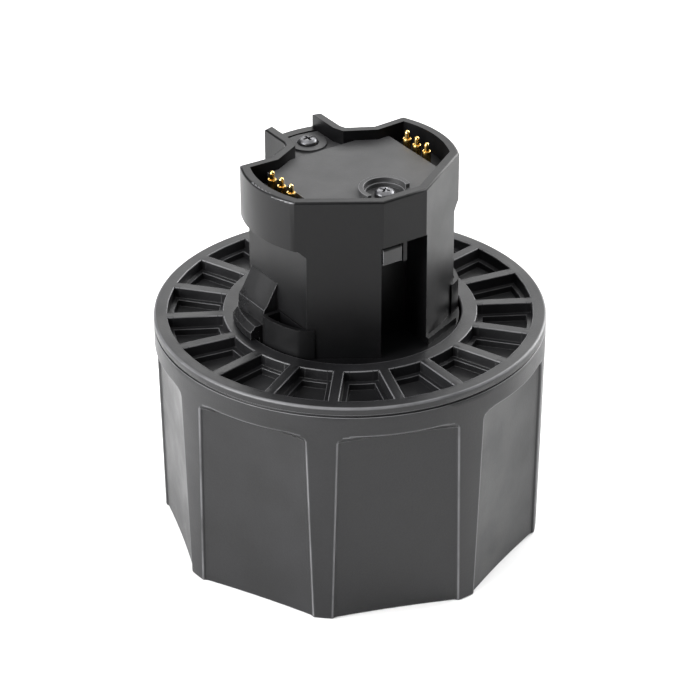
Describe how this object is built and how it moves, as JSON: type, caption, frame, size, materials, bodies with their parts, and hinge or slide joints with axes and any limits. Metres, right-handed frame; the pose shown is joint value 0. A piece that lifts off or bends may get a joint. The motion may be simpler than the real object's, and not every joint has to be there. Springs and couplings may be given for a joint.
{
  "type": "screw-coupled plug connector",
  "caption": "Round screw-coupled plug with a large octagonal hand nut, a keyed stem with spring pins on top and a round socket inside the threaded end.",
  "frame": {"origin": "centre of the coupling nut's open rim, on the surface it stands on", "axes": "+Z along the plug's axis towards the spring pins, +X through the wide contact lobe of the skirt, +Y through the horned keyway lobe of the stem"},
  "size_m": [0.072, 0.072, 0.0759],
  "materials": {
    "grip_plastic": "fine spark texture, charcoal black",
    "thread_plastic": "smooth moulded, black",
    "housing_plastic": "smooth satin, black",
    "clip_plastic": "smooth satin, black",
    "deck_plastic": "flat smooth, dark grey",
    "block_plastic": "matte, black",
    "washer_plastic": "waxy low-friction, dark grey",
    "seal_rubber": "moulded rubber, black",
    "screw_steel": "black-oxide steel",
    "insert_brass": "knurled brass",
    "contact_gold": "gold plating, polished",
    "spring_steel": "bright spring wire",
    "board_laminate": "glass laminate with solder resist",
    "socket_metal": "nickel plating, satin",
    "cable_jacket": "flexible jacket, black"
  },
  "bodies": {
    "plug": {"stem_housing": "housing_plastic", "skirt_housing": "housing_plastic", "retaining_clips": "clip_plastic", "housing_seal": "seal_rubber", "face_gasket": "seal_rubber", "deck_screws": "screw_steel", "housing_screws": "screw_steel", "plate_screws": "screw_steel", "deck_inserts": "insert_brass", "deck_cover": "deck_plastic", "contact_block_a": "block_plastic", "contact_block_b": "block_plastic", "pin_barrels_a": "contact_gold", "pin_barrels_b": "contact_gold", "contact_board": "board_laminate", "latch_pin": "screw_steel", "socket_plate": "deck_plastic", "socket_shell": "socket_metal", "socket_insert": "block_plastic", "socket_contacts": "contact_gold", "socket_nut": "socket_metal", "inner_cable": "cable_jacket", "pin_spring_a1": "spring_steel", "pin_spring_a2": "spring_steel", "pin_spring_a3": "spring_steel", "pin_spring_b1": "spring_steel", "pin_spring_b2": "spring_steel", "pin_spring_b3": "spring_steel"},
    "washer": {"slip_washer": "washer_plastic"},
    "nut": {"grip_shell": "grip_plastic", "thread_sleeve": "thread_plastic"},
    "latch": {"key_latch": "clip_plastic"},
    "plunger_a1_body": {"plunger_a1": "contact_gold"},
    "plunger_a2_body": {"plunger_a2": "contact_gold"},
    "plunger_a3_body": {"plunger_a3": "contact_gold"},
    "plunger_b1_body": {"plunger_b1": "contact_gold"},
    "plunger_b2_body": {"plunger_b2": "contact_gold"},
    "plunger_b3_body": {"plunger_b3": "contact_gold"}
  },
  "joints": [
    {"name": "nut_float", "type": "slide", "parent": "plug", "child": "washer", "axis": [0, 0, 1], "range_m": [-0.0015, 0]},
    {"name": "nut_spin", "type": "hinge", "parent": "washer", "child": "nut", "pos_m": [0, 0, 0.0395], "axis": [0, 0, 1], "continuous": true},
    {"name": "latch_press", "type": "hinge", "parent": "plug", "child": "latch", "pos_m": [-0.0027, -0.0162, 0.0653], "axis": [1, 0, 0], "range_deg": [0, 18], "stiffness_Nm_per_rad": 0.004, "springref_deg": -11.46},
    {"name": "plunger_a1_press", "type": "slide", "parent": "plug", "child": "plunger_a1_body", "axis": [0, 0, 1], "range_m": [-0.0012, 0], "stiffness_N_per_m": 300, "springref_m": 0.001, "deforming": ["pin_spring_a1"]},
    {"name": "plunger_a2_press", "type": "slide", "parent": "plug", "child": "plunger_a2_body", "axis": [0, 0, 1], "range_m": [-0.0012, 0], "stiffness_N_per_m": 300, "springref_m": 0.001, "deforming": ["pin_spring_a2"]},
    {"name": "plunger_a3_press", "type": "slide", "parent": "plug", "child": "plunger_a3_body", "axis": [0, 0, 1], "range_m": [-0.0012, 0], "stiffness_N_per_m": 300, "springref_m": 0.001, "deforming": ["pin_spring_a3"]},
    {"name": "plunger_b1_press", "type": "slide", "parent": "plug", "child": "plunger_b1_body", "axis": [0, 0, 1], "range_m": [-0.0012, 0], "stiffness_N_per_m": 300, "springref_m": 0.001, "deforming": ["pin_spring_b1"]},
    {"name": "plunger_b2_press", "type": "slide", "parent": "plug", "child": "plunger_b2_body", "axis": [0, 0, 1], "range_m": [-0.0012, 0], "stiffness_N_per_m": 300, "springref_m": 0.001, "deforming": ["pin_spring_b2"]},
    {"name": "plunger_b3_press", "type": "slide", "parent": "plug", "child": "plunger_b3_body", "axis": [0, 0, 1], "range_m": [-0.0012, 0], "stiffness_N_per_m": 300, "springref_m": 0.001, "deforming": ["pin_spring_b3"]}
  ]
}
